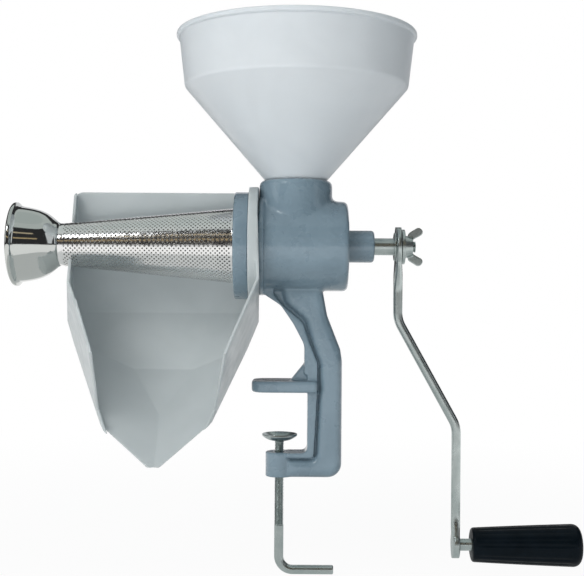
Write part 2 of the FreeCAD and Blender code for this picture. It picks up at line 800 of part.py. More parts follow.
shaft_blank = turned("shaft_blank", [
    ("0", "0"),
    ("shaft_radius", "0"),
    ("shaft_radius", "shaft_shoulder - shaft_left"),
    ("stud_radius", "shaft_shoulder - shaft_left"),
    ("stud_radius", "stud_end - shaft_left"),
    ("0", "stud_end - shaft_left"),
])
put(shaft_blank, ALONG_X, "shaft_left", "0", "axis_height")
pin_hole = cylinder("pin_hole", "pin_radius", "4 * shaft_radius", UPRIGHT, "pin_offset", "0",
                    "axis_height - 2 * shaft_radius")
sub_part(cut_from("shaft", shaft_blank, pin_hole), "drive_shaft")

pin = cylinder("cross_pin", "pin_radius - press_gap", "2 * auger_core - 2 * auger_wall", UPRIGHT, "pin_offset", "0",
               "axis_height - auger_core + auger_wall")
sub_part(pin, "auger_pin")

bush = tube("bush", "bush_radius - press_gap", "shaft_radius + running_gap", "boss_length + end_wall - bush_recess")
put(bush, ALONG_X, "barrel_end - end_wall", "0", "axis_height")
sub_part(bush, "rear_bush")

thrust = tube("thrust", "thrust_radius", "shaft_radius + running_gap", "washer_width")
put(thrust, ALONG_X, "barrel_end - end_wall - seal_width - washer_width - washer_gap / 2", "0", "axis_height")
sub_part(thrust, "thrust_washer")

seal = tube("seal", "seal_radius", "shaft_radius + running_gap", "seal_width - washer_gap / 2")
put(seal, ALONG_X, "barrel_end - end_wall - seal_width", "0", "axis_height")
sub_part(seal, "shaft_seal")

collar = tube("collar", "collar_radius", "shaft_radius + press_gap", "collar_width")
put(collar, ALONG_X, "shaft_shoulder - collar_width", "0", "axis_height")
sub_part(collar, "shaft_collar")

# Crank


def flattened_end(rod, centre, radius, width, towards):
    """A rod's end pressed flat: a disc about the centre, and a wedge that runs out along the rod."""
    side = Vector(-width / 2, 0, 0)
    disc = Part.makeCylinder(radius, width, centre + side, X_AXIS)
    wedge = Part.makeCone(radius * WEDGE_START, s.rod_radius, radius * WEDGE_LENGTH,
                          centre + towards * (radius * DISC_INSET), towards)
    reach = radius * WEDGE_LENGTH + s.flat_length
    slab = Part.makeBox(width, 2 * reach, 2 * reach, centre + side - Vector(0, reach, reach))
    pressed = radius + s.flat_length
    room = Part.makeBox(2 * reach, 2 * reach, reach + pressed, Vector(-reach, -reach, -reach))
    room.Placement = Placement(centre, Rotation(Z_AXIS, towards))
    return rod.cut(room.cut(slab)).fuse([disc, wedge.common(slab)])


def crank():
    """A bent round rod with a flat eye on the shaft and a flat paddle for the spindle."""
    eye_centre = Vector(s.shaft_shoulder + s.eye_width / 2, 0, s.axis_height)
    foot_centre = eye_centre + Vector(s.crank_offset, 0, -s.crank_throw)
    path = rounded_wire([
        (eye_centre - Z_AXIS * (s.eye_radius * DISC_INSET), 0),
        (Vector(eye_centre.x, 0, s.upper_bend), s.bend_radius),
        (Vector(foot_centre.x, 0, s.lower_bend), s.bend_radius),
        (foot_centre + Z_AXIS * (s.paddle_radius * DISC_INSET), 0),
    ], False)
    ring_wire = Part.Wire(Part.makeCircle(s.rod_radius, path.Vertexes[0].Point, -Z_AXIS))
    solid = path.makePipeShell([ring_wire], True, False)
    solid = flattened_end(solid, eye_centre, s.eye_radius, s.eye_width, -Z_AXIS)
    solid = flattened_end(solid, foot_centre, s.paddle_radius, s.paddle_width, Z_AXIS)
    for centre, radius in ((eye_centre, s.stud_radius + s.running_gap), (foot_centre, s.rivet_radius)):
        through = 2 * s.eye_width
        solid = solid.cut(Part.makeCylinder(radius, 2 * through, centre - X_AXIS * through, X_AXIS))
    return solid.removeSplitter()


sub_part(shaped("crank", crank()), "crank_arm")

PADDLE_RIGHT = "(shaft_shoulder + eye_width / 2 + crank_offset + paddle_width / 2)"
SPINDLE_HEIGHT = "axis_height - crank_throw"
GRIP_BACK = "(grip_end - cap_depth)"

outer_washer = tube("outer_washer", "outer_washer_radius", "stud_radius + running_gap", "outer_washer_width")
put(outer_washer, ALONG_X, "shaft_shoulder + eye_width", "0", "axis_height")
sub_part(outer_washer, "crank_washer")


def wing_nut():
    """A hub with two upswept rounded wings."""
    root = s.nut_wing_root
    half_span = s.nut_wing_span / 2
    tip = half_span - s.nut_wing_tip
    top = s.nut_hub_width + s.nut_wing_rise
    curve = s.nut_wing_round
    solid = Part.makeCone(s.nut_foot_radius, s.nut_top_radius, s.nut_hub_width)
    for side in (1, -1):
        corners = [
            (Vector(side * root, 0, s.nut_hub_width / 7), 0),
            (Vector(side * tip, 0, s.nut_hub_width / 2), curve),
            (Vector(side * half_span, 0, top - s.nut_wing_tip), curve),
            (Vector(side * tip, 0, top), curve),
            (Vector(side * 2 * root, 0, s.nut_hub_width), curve),
            (Vector(side * root, 0, s.nut_hub_width), 0),
        ]
        wing = Part.Face(rounded_wire(corners, True)).extrude(Vector(0, s.nut_wing_width, 0))
        wing.translate(Vector(0, -s.nut_wing_width / 2, 0))
        solid = solid.fuse(wing)
    bore = Part.makeCylinder(s.stud_radius + s.running_gap, s.nut_hub_width + 2 * s.cut_margin,
                             -s.cut_margin * Z_AXIS)
    return solid.cut(bore).removeSplitter()


NUT_START = s.shaft_shoulder + s.eye_width + s.outer_washer_width
sub_part(shaped("nut", wing_nut(), Placement(Vector(NUT_START, 0, s.axis_height), ALONG_X)), "wing_nut")

SPINDLE_END = f"{GRIP_BACK} + retainer_width + spindle_tail - {PADDLE_RIGHT} + paddle_width"
spindle = turned("spindle", [
    ("0", "0"),
    ("rivet_radius - press_gap", "0"),
    ("rivet_radius - press_gap", "paddle_width"),
    ("spindle_radius", "paddle_width"),
    ("spindle_radius", SPINDLE_END),
    ("0", SPINDLE_END),
])
put(spindle, ALONG_X, f"{PADDLE_RIGHT} - paddle_width", "0", SPINDLE_HEIGHT)
sub_part(spindle, "handle_spindle")

grip = turned("grip", [
    ("spindle_radius + running_gap", "0"),
    ("grip_inner_radius - grip_chamfer", "0"),
    ("grip_inner_radius", "grip_chamfer"),
    ("grip_outer_radius", "grip_end - grip_start - grip_dome"),
    ("grip_outer_radius - 0.28 * grip_dome", "grip_end - grip_start - 0.4 * grip_dome"),
    ("grip_outer_radius - grip_dome", "grip_end - grip_start"),
    ("cap_radius", "grip_end - grip_start"),
    ("cap_radius", "grip_end - grip_start - cap_depth"),
    ("spindle_radius + running_gap", "grip_end - grip_start - cap_depth"),
])
put(grip, ALONG_X, "grip_start", "0", SPINDLE_HEIGHT)
sub_part(grip, "handle_grip")

retainer = tube("retainer", "retainer_radius", "spindle_radius + press_gap", "retainer_width")
put(retainer, ALONG_X, f"{GRIP_BACK} + thread_gap", "0", SPINDLE_HEIGHT)
sub_part(retainer, "grip_retainer")

cap = turned("cap", [
    ("0", "0"),
    ("cap_radius - press_gap", "0"),
    ("cap_radius - press_gap", "cap_width - cap_crown"),
    ("cap_radius - 2 * cap_crown", "cap_width - 0.4 * cap_crown"),
    ("0", "cap_width"),
])
put(cap, ALONG_X, "grip_end - cap_width + cap_proud", "0", SPINDLE_HEIGHT)
sub_part(cap, "grip_end_cap")

# Clamp screw and pad


def clamp_screw():
    """A round rod, bent square at the foot, with a thin stem that carries the pad."""
    top = s.pad_top - s.pad_dish - s.pad_thickness
    path = rounded_wire([
        (Vector(0, 0, top), 0),
        (Vector(0, 0, s.screw_bottom), s.screw_bend),
        (Vector(s.screw_leg, 0, s.screw_bottom), 0),
    ], False)
    rod = path.makePipeShell([Part.Wire(Part.makeCircle(s.screw_radius, Vector(0, 0, top), -Z_AXIS))], True, False)
    stem = Part.makeCylinder(s.pad_stem_radius, s.pad_thickness + 2 * s.stem_proud, Vector(0, 0, top - s.stem_proud))
    return rod.fuse(stem).removeSplitter()


sub_part(shaped("l_screw", clamp_screw()), "clamp_screw")

pad = turned("pad", [
    ("pad_stem_radius + running_gap", "0"),
    ("pad_hub_radius + pad_lip", "0"),
    ("pad_radius", "pad_dish"),
    ("pad_radius", "pad_dish + pad_thickness"),
    ("pad_radius - pad_lip", "pad_dish + pad_thickness"),
    ("pad_hub_radius + pad_lip", "pad_thickness"),
    ("pad_stem_radius + running_gap", "pad_thickness"),
])
put(pad, UPRIGHT, "0", "0", "pad_top - pad_dish - pad_thickness + running_gap")
sub_part(pad, "clamp_pad")

rivet = turned("rivet", [
    ("pad_stem_radius", "0"),
    ("pad_hub_radius", "0"),
    ("pad_hub_radius - 0.7 * rivet_head", "0.8 * rivet_head"),
    ("0", "rivet_head"),
    ("0", "stem_proud"),
    ("pad_stem_radius", "stem_proud"),
])
put(rivet, UPRIGHT, "0", "0", "pad_top - pad_dish + 2 * running_gap")
sub_part(rivet, "pad_rivet")

# Check every object, then write the pieces

doc.recompute()
for thing in doc.Objects:
    if "Invalid" in thing.State or "Error" in thing.State:
        raise RuntimeError(f"{thing.Name} failed: {thing.State}")
os.makedirs("parts", exist_ok=True)
for part in parts:
    shape = part.Shape
    if shape.isNull() or not shape.isValid():
        raise RuntimeError(f"{part.Label} has no valid shape")
    box = shape.BoundBox
    print(f"{part.Label:16s} solids {len(shape.Solids)}  volume {shape.Volume:10.0f}  "
          f"x {box.XMin:7.1f} {box.XMax:7.1f}  y {box.YMin:6.1f} {box.YMax:6.1f}  z {box.ZMin:7.1f} {box.ZMax:7.1f}")
for part in parts:
    part.Shape.exportStep(f"parts/{part.Label}.step")
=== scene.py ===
"""The looks of a hand cranked tomato strainer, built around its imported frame.

Lengths are in metres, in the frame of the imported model: +Z is up, +X runs along the shaft to the crank
and -Y faces the camera.
"""
import json
import math

import bmesh
import bpy
from mathutils import Matrix, Vector


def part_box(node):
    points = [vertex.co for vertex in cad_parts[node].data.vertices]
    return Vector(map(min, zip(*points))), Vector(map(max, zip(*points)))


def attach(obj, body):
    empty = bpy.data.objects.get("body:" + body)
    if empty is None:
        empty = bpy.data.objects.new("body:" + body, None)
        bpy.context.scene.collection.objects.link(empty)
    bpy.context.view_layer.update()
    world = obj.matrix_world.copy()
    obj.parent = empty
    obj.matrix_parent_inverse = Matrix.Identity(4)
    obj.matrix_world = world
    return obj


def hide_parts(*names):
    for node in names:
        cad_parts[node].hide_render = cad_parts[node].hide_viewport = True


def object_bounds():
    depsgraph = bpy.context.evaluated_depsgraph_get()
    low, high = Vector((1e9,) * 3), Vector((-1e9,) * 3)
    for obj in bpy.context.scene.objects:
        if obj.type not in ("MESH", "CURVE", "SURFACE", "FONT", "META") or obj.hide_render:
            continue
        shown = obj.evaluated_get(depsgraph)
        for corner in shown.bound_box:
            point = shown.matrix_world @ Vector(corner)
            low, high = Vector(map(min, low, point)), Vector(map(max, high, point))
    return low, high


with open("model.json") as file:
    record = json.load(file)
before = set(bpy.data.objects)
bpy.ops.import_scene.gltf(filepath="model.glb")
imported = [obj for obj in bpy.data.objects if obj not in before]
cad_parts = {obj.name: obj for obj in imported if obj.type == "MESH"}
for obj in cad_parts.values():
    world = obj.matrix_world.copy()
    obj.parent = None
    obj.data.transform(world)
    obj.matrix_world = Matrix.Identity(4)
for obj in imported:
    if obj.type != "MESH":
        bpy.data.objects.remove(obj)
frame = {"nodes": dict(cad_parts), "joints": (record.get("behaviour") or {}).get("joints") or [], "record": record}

cad_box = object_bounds()

MM = 0.001
TINY = 1e-7
WELD_GAP = 1e-6
SHARP_ANGLE = 35.0
MELTED_ANGLE = 60.0
BEND_SEGMENTS = 12
NODES = frame["nodes"]
SHAFT_HEIGHT = next(joint["pos_m"][2] for joint in frame["joints"] if joint["name"] == "crank_turn")
# The shaft's shoulder, which the eye of the crank rests on
SHOULDER_X = 99.6 * MM

# Mesh helpers


def finish_mesh(name, points, faces, sharp_angle=SHARP_ANGLE):
    """A smooth shaded object, with the edges past an angle kept sharp."""
    mesh = bpy.data.meshes.new(name)
    mesh.from_pydata(points, [], faces)
    mesh.update()
    tidy = bmesh.new()
    tidy.from_mesh(mesh)
    bmesh.ops.recalc_face_normals(tidy, faces=tidy.faces)
    tidy.to_mesh(mesh)
    tidy.free()
    return place_mesh(name, mesh, sharp_angle)


def place_mesh(name, mesh, sharp_angle):
    """Links a mesh to the scene as a smooth shaded object."""
    for polygon in mesh.polygons:
        polygon.use_smooth = True
    mesh.set_sharp_from_angle(angle=math.radians(sharp_angle))
    piece = bpy.data.objects.new(name, mesh)
    bpy.context.scene.collection.objects.link(piece)
    return piece


def eased(corners, closed=True, segments=6):
    """A flat outline from corners of (a, b, round), each round one turned by an arc."""
    count = len(corners)
    outline = []
    for i, corner in enumerate(corners):
        point = Vector(corner[:2])
        radius = corner[2] if len(corner) > 2 else 0.0
        if radius == 0 or (not closed and i in (0, count - 1)):
            outline.append(point)
            continue
        back = (Vector(corners[i - 1][:2]) - point).normalized()
        ahead = (Vector(corners[(i + 1) % count][:2]) - point).normalized()
        half = back.angle(ahead) / 2
        centre = point + (back + ahead).normalized() * (radius / math.sin(half))
        start = point + back * (radius / math.tan(half)) - centre
        end = point + ahead * (radius / math.tan(half)) - centre
        for k in range(segments + 1):
            spoke = start.lerp(end, k / segments)
            outline.append(centre + spoke.normalized() * radius)
    return outline


def turned(name, outline, origin, axis, steps, radius_at=None, sharp_angle=SHARP_ANGLE):
    """A piece turned about an axis, from an outline of (along, radius).

    An open outline starts and ends on the axis.
    """
    along = Vector(axis)
    first = Vector((0, -1, 0))
    second = along.cross(first)
    points = []
    rings = []
    for height, radius in outline:
        centre = origin + along * height
        if radius < TINY:
            rings.append([len(points)] * steps)
            points.append(centre)
            continue
        rings.append(range(len(points), len(points) + steps))
        for k in range(steps):
            angle = math.tau * k / steps
            reach = radius_at(height, radius, angle) if radius_at else radius
            points.append(centre + (first * math.cos(angle) + second * math.sin(angle)) * reach)
    faces = []
    is_ring = outline[0][1] > TINY and outline[-1][1] > TINY
    for i in range(len(outline) if is_ring else len(outline) - 1):
        low = rings[i]
        high = rings[(i + 1) % len(outline)]
        for k in range(steps):
            face = dict.fromkeys((low[k], low[(k + 1) % steps], high[(k + 1) % steps], high[k]))
            if len(face) > 2:
                faces.append(tuple(face))
    return finish_mesh(name, points, faces, sharp_angle)


def add_smoothing(piece, rounds):
    """A modifier that evens out a piece's surface."""
    soft = piece.modifiers.new("soft", "SMOOTH")
    soft.factor = 0.5
    soft.iterations = rounds
    return soft


def modified_mesh(piece):
    """A new mesh of what a piece's modifiers make of it."""
    bpy.context.view_layer.update()
    ready = piece.evaluated_get(bpy.context.evaluated_depsgraph_get())
    return bpy.data.meshes.new_from_object(ready)


def melted(name, node, voxel, rounds):
    """A copy of a node's shape with its edges and inner corners rounded, as on a casting or a moulding."""
    solid = bmesh.new()
    solid.from_mesh(NODES[node].data)
    bmesh.ops.remove_doubles(solid, verts=solid.verts, dist=WELD_GAP)
    mesh = bpy.data.meshes.new(name)
    solid.to_mesh(mesh)
    solid.free()
    rough = bpy.data.objects.new(name + "_rough", mesh)
    bpy.context.scene.collection.objects.link(rough)
    even = rough.modifiers.new("even", "REMESH")
    even.mode = "VOXEL"
    even.voxel_size = voxel
    add_smoothing(rough, rounds)
    result = modified_mesh(rough)
    result.name = name
    bpy.data.objects.remove(rough)
    result.materials.clear()
    return place_mesh(name, result, MELTED_ANGLE)


def softened(piece, weight_at, rounds):
    """Smooths a piece further where a function of the point gives it weight."""
    zone = piece.vertex_groups.new(name="zone")
    for vertex in piece.data.vertices:
        weight = weight_at(vertex.co)
        if weight > 0:
            zone.add([vertex.index], weight, "REPLACE")
    add_smoothing(piece, rounds).vertex_group = "zone"
    mesh = modified_mesh(piece)
    old = piece.data
    piece.modifiers.clear()
    piece.vertex_groups.clear()
    piece.data = mesh
    bpy.data.meshes.remove(old)
    mesh.name = piece.name


def route_of(corners, spacing):
    """A route in the upright middle plane from corners of (x, z, round).

    It is a list of (point, direction, distance) at even steps.
    """
    outline = eased(corners, closed=False, segments=BEND_SEGMENTS)
    line = [Vector((x, 0, z)) for x, z in outline]
    stations = []
    travelled = 0.0
    for start, end in zip(line, line[1:]):
        leg = (end - start).length
        count = max(1, round(leg / spacing))
        for k in range(count):
            stations.append((start.lerp(end, k / count), travelled + leg * k / count))
        travelled += leg
    stations.append((line[-1], travelled))
    route = []
    for i, (point, distance) in enumerate(stations):
        before = stations[max(i - 1, 0)][0]
        after = stations[min(i + 1, len(stations) - 1)][0]
        route.append((point, (after - before).normalized(), distance))
    return route


def tube_faces(rows, steps):
    """Faces of a tube of rings of points, with both of its ends closed."""
    faces = []
    for i in range(rows):
        for k in range(steps):
            after = (k + 1) % steps
            faces.append((i * steps + k, i * steps + after, (i + 1) * steps + after, (i + 1) * steps + k))
    faces.append(tuple(range(steps)))
    faces.append(tuple(range(rows * steps, (rows + 1) * steps)))
    return faces


def swept(name, route, section, steps):
    """A piece swept along a route, with a section(distance, angle) that gives the reach across and outwards."""
    across = Vector((0, 1, 0))
    points = []
    for point, direction, distance in route:
        outwards = direction.cross(across)
        for k in range(steps):
            sideways, out = section(distance, math.tau * k / steps)
            points.append(point + across * sideways + outwards * out)
    return finish_mesh(name, points, tube_faces(len(route) - 1, steps))


def smooth_step(low, high, value):
    """0 below low, 1 above high and an even curve between."""
    share = min(1.0, max(0.0, (value - low) / (high - low)))
    return share * share * (3 - 2 * share)


def thread_depth(distance, angle, pitch, depth):
    """How far a thread's flank lies under its crest."""
    steepness = 2.6
    crest = 0.15
    phase = (distance / pitch + angle / math.tau) % 1.0
    return depth * min(1.0, max(0.0, steepness * abs(phase - 0.5) - crest))


# Materials

# The part of a noise pattern's values that is put to use
NOISE_LOW = 0.35
NOISE_HIGH = 0.65


class Surface:
    """A material with one principled shader, whose patterns follow the object's own coordinates."""

    def __init__(self, name, colour, roughness, metallic=0.0):
        self.material = bpy.data.materials.new(name)
        self.material.use_nodes = True
        self.tree = self.material.node_tree
        self.shader = self.tree.nodes["Principled BSDF"]
        self.shader.inputs["Base Color"].default_value = (*colour, 1.0)
        self.shader.inputs["Roughness"].default_value = roughness
        self.shader.inputs["Metallic"].default_value = metallic
        self.place = self.tree.nodes.new("ShaderNodeTexCoord").outputs["Object"]

    def set(self, **values):
        """Sets plain values of the shader."""
        for key, value in values.items():
            self.shader.inputs[key.replace("_", " ")].default_value = value

    def stretched(self, scale):
        """The object's coordinates, scaled along each axis."""
        mapping = self.tree.nodes.new("ShaderNodeMapping")
        mapping.inputs["Scale"].default_value = scale
        self.tree.links.new(self.place, mapping.inputs["Vector"])
        return mapping.outputs["Vector"]

    def noise(self, scale, detail=3.0, place=None, distortion=0.0):
        """A grey noise pattern."""
        node = self.tree.nodes.new("ShaderNodeTexNoise")
        node.inputs["Scale"].default_value = scale
        node.inputs["Detail"].default_value = detail
        node.inputs["Distortion"].default_value = distortion
        self.tree.links.new(place or self.place, node.inputs["Vector"])
        return node.outputs["Fac"]

    def spread(self, pattern, low, high):
        """A pattern's middle range mapped to new limits."""
        node = self.tree.nodes.new("ShaderNodeMapRange")
        node.inputs["From Min"].default_value = NOISE_LOW
        node.inputs["From Max"].default_value = NOISE_HIGH
        node.inputs["To Min"].default_value = low
        node.inputs["To Max"].default_value = high
        self.tree.links.new(pattern, node.inputs["Value"])
        return node.outputs["Result"]

    def clouds(self, pattern, dark, light):
        """Makes the colour waver between two tones, led by a pattern."""
        share = self.spread(pattern, 0.0, 1.0)
        node = self.tree.nodes.new("ShaderNodeMix")
        node.data_type = "RGBA"
        node.inputs["A"].default_value = (*dark, 1.0)
        node.inputs["B"].default_value = (*light, 1.0)
        self.tree.links.new(share, node.inputs["Factor"])
        self.tree.links.new(node.outputs["Result"], self.shader.inputs["Base Color"])

    def wear(self, pattern, low, high):
        """Makes the roughness waver between two values, led by a pattern."""
        self.tree.links.new(self.spread(pattern, low, high), self.shader.inputs["Roughness"])

    def bumps(self, *layers):
        """Surface relief from layers of (noise scale, height in metres)."""
        patterns = [self.noise(scale, detail=2.0) for scale, height in layers]
        normal = None
        for pattern, (scale, height) in zip(patterns, layers):
            node = self.tree.nodes.new("ShaderNodeBump")
            node.inputs["Strength"].default_value = 1.0
            node.inputs["Distance"].default_value = height
            self.tree.links.new(pattern, node.inputs["Height"])
            if normal is not None:
                self.tree.links.new(normal, node.inputs["Normal"])
            normal = node.outputs["Normal"]
        self.tree.links.new(normal, self.shader.inputs["Normal"])


def linear(value):
    """The linear value of a display value of 0 to 1, by the sRGB curve."""
    return ((value + 0.055) / 1.055) ** 2.4 if value > 0.04045 else value / 12.92


def tone(*display):
    """A linear colour from display values of 0 to 255."""
    return tuple(linear(value / 255) for value in display)


def enamel():
    """Grey-blue stoving enamel over a casting: a little uneven, with a soft gloss."""
    surface = Surface("grey_blue_enamel", tone(109, 129, 141), 0.34)
    surface.set(Coat_Weight=0.6, Coat_Roughness=0.1)
    surface.clouds(surface.noise(28.0, detail=4.0), tone(104, 124, 136), tone(114, 134, 146))
    surface.wear(surface.noise(60.0), 0.24, 0.36)
    surface.bumps((75.0, 0.0009), (300.0, 0.00022))
    return surface.material


def milky(name, dark, light):
    """Translucent natural polyethylene, with faint flow marks."""
    surface = Surface(name, light, 0.38)
    surface.set(Subsurface_Weight=0.35, Subsurface_Radius=(0.012, 0.013, 0.014), Subsurface_Scale=1.0)
    surface.clouds(surface.noise(14.0, distortion=0.6), dark, light)
    surface.wear(surface.noise(90.0, detail=2.0), 0.32, 0.46)
    surface.bumps((35.0, 0.0002), (900.0, 0.00002))
    return surface.material


def sheet_steel():
    """Bright rolled stainless sheet."""
    surface = Surface("stainless_sheet", (0.86, 0.86, 0.85), 0.16, metallic=1.0)
    grain = surface.stretched((40.0, 900.0, 900.0))
    surface.wear(surface.noise(1.0, place=grain), 0.12, 0.2)
    surface.bumps((60.0, 0.0003))
    return surface.material


def machined(name, colour, roughness, grain, low, high):
    """Metal with fine turning marks round the X axis."""
    surface = Surface(name, colour, roughness, metallic=1.0)
    surface.wear(surface.noise(1.0, detail=2.0, place=surface.stretched(grain)), low, high)
    return surface.material


def zinc():
    """Bright zinc plate, slightly clouded."""
    surface = Surface("zinc_plate", (0.5, 0.54, 0.53), 0.27, metallic=1.0)
    surface.clouds(surface.noise(90.0), (0.45, 0.51, 0.5), (0.53, 0.58, 0.57))
    surface.wear(surface.noise(120.0), 0.26, 0.34)
    surface.bumps((160.0, 0.000012))
    return surface.material


def moulded(name, dark, light, roughness, specular=0.5):
    """Moulded plastic or rubber."""
    surface = Surface(name, light, roughness)
    surface.set(Specular_IOR_Level=specular)
    surface.clouds(surface.noise(70.0), dark, light)
    surface.wear(surface.noise(160.0), roughness - 0.06, roughness + 0.08)
    surface.bumps((500.0, 0.00005))
    return surface.material


MATERIALS = {
    "casting_enamel": enamel(),
    "hopper_plastic": milky("hopper_polyethylene", tone(197, 203, 207), tone(203, 209, 213)),
    # The chute is the same polyethylene as the hopper; its tones are darker than the hopper's as painted shade.
    "chute_plastic": milky("chute_polyethylene", tone(172, 179, 180), tone(180, 187, 188)),
    "stainless": sheet_steel(),
    "polished_steel": machined("polished_steel", (0.6, 0.62, 0.6), 0.06, (1400.0, 30.0, 30.0), 0.04, 0.1),
    "zinc_steel": zinc(),
    "auger_plastic": moulded("white_moulding", tone(214, 214, 206), tone(226, 226, 220), 0.42),
    "bush_brass": machined("machined_brass", (0.72, 0.53, 0.26), 0.3, (2500.0, 60.0, 60.0), 0.22, 0.4),
    "seal_rubber": moulded("black_rubber", tone(22, 22, 22), tone(34, 34, 34), 0.7),
    "grip_plastic": moulded("black_grip", tone(4, 12, 18), tone(8, 17, 24), 0.36, specular=0.1),
}


def fitted(piece, body, slot, *replaced):
    """Gives a piece its material and its body, and hides the nodes that it stands for."""
    piece.data.materials.append(MATERIALS[slot])
    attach(piece, body)
    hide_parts(*replaced)


# Casting, hopper and lock ring


def make_casting():
    """The casting with its cast corners, and a softer seam between the neck and the barrel."""
    piece = melted("casting_body", "body_casting", voxel=0.8 * MM, rounds=8)
    seam_height = SHAFT_HEIGHT + 31 * MM
    seam_reach = 13 * MM
    neck_x = 12.8 * MM
    neck_bore = 29 * MM

    def near_seam(point):
        """Weight for the seam, outside the neck's bore."""
        if math.hypot(point.x - neck_x, point.y) < neck_bore:
            return 0.0
        off = abs(point.z - seam_height) / seam_reach
        return 1 - smooth_step(0.5, 1.0, off)

    softened(piece, near_seam, rounds=70)
    fitted(piece, "casting", "casting_enamel", "body_casting")


def make_hopper():
    """A cone with an upright band, a rolled lip and a spigot."""
    low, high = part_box("hopper")
    axis = Vector(((low.x + high.x) / 2, 0, low.z))
    wall = 2.0 * MM
    spigot = 25.8 * MM
    spigot_length = 25.0 * MM
    neck = 27.7 * MM
    neck_rise = 1.2 * MM
    fold = 96.8 * MM
    fold_height = spigot_length + 80.5 * MM
    rim = high.y
    top = high.z - low.z
    lip = 2.4 * MM
    lip_foot = top - 2 * lip
    lip_slope = 0.4 * MM
    corners = [
        (0.0, spigot - wall, 0.4 * MM),
        (0.0, spigot, 0.6 * MM),
        (spigot_length, spigot, 1.0 * MM),
        (spigot_length + neck_rise, neck, 3.0 * MM),
        (fold_height, fold, 6.0 * MM),
        (lip_foot, rim - lip, 1.2 * MM),
        (lip_foot + lip_slope, rim, 1.7 * MM),
        (top, rim, 1.9 * MM),
        (top, rim - lip - wall, 0.9 * MM),
        (fold_height + 0.5 * wall, fold - wall, 5.0 * MM),
        (spigot_length + 1.5 * wall, spigot - wall, 4.0 * MM),
    ]
    piece = turned("hopper_shell", eased(corners), axis, (0, 0, 1), 160)
    fitted(piece, "hopper", "hopper_plastic", "hopper")


def make_lock_ring():
    """A flat ring with softened edges."""
    low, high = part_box("lock_ring")
    width = high.x - low.x
    radius = high.y
    seat = 36.8 * MM
    seat_depth = 9.9 * MM
    mouth = 33.5 * MM
    step = width - seat_depth
    corners = [
        (0.0, mouth, 0.5 * MM),
        (0.0, radius, 1.8 * MM),
        (width, radius, 0.8 * MM),
        (width, seat, 0.4 * MM),
        (step, seat, 0.2 * MM),
        (step, mouth, 0.3 * MM),
    ]
    piece = turned("sieve_lock_ring", eased(corners), Vector((low.x, 0, SHAFT_HEIGHT)), (1, 0, 0), 128)
    fitted(piece, "ring", "casting_enamel", "lock_ring")


# Sieve and bell


def beside_shaft(along, radius, turn):
    """A point at a radius from the shaft's line, turned from the front upwards."""
    return (along, -radius * math.cos(turn), SHAFT_HEIGHT + radius * math.sin(turn))


class SieveCone:
    """The sieve's sheet, rolled up to a cone. Slant is the distance from the apex along its side."""

    small = 18.2 * MM
    large = 32.8 * MM
    sheet = 0.6 * MM
    flange = 1.2 * MM
    # How far the hem, the flange and the seam stand out from the sheet
    proud = 0.12 * MM
    margin = 2.0 * MM
    seam = 2.6 * MM
    pitch_along = 3.9 * MM
    pitch_across = 3.7 * MM

    def __init__(self):
        low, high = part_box("sieve_cone")
        self.start_x = low.x
        self.rim = high.y
        self.length = high.x - self.flange - low.x
        self.half_angle = math.atan((self.large - self.small) / self.length)
        self.apex_x = low.x - self.small / math.tan(self.half_angle)
        self.slant_start = self.small / math.sin(self.half_angle)
        self.slant_end = self.large / math.sin(self.half_angle)
        self.side_length = self.slant_end - self.slant_start
        # Sheet without holes beyond the margin and the seam
        self.plain_along = 0.6 * self.pitch_along
        self.plain_across = 0.6 * self.pitch_across

    def rolled(self, x, y, depth):
        """A point of the flat sheet on the cone, at a depth square to its outside."""
        slant = math.hypot(x, y)
        turn = math.atan2(y, x) / math.sin(self.half_angle)
        radius = slant * math.sin(self.half_angle) - depth * math.cos(self.half_angle)
        along = self.apex_x + slant * math.cos(self.half_angle) + depth * math.sin(self.half_angle)
        return beside_shaft(along, radius, turn)

    def profile(self, slant, depth):
        """(x, radius) at a depth under the outside, square to the shaft."""
        return (self.apex_x + slant * math.cos(self.half_angle), slant * math.sin(self.half_angle) - depth)


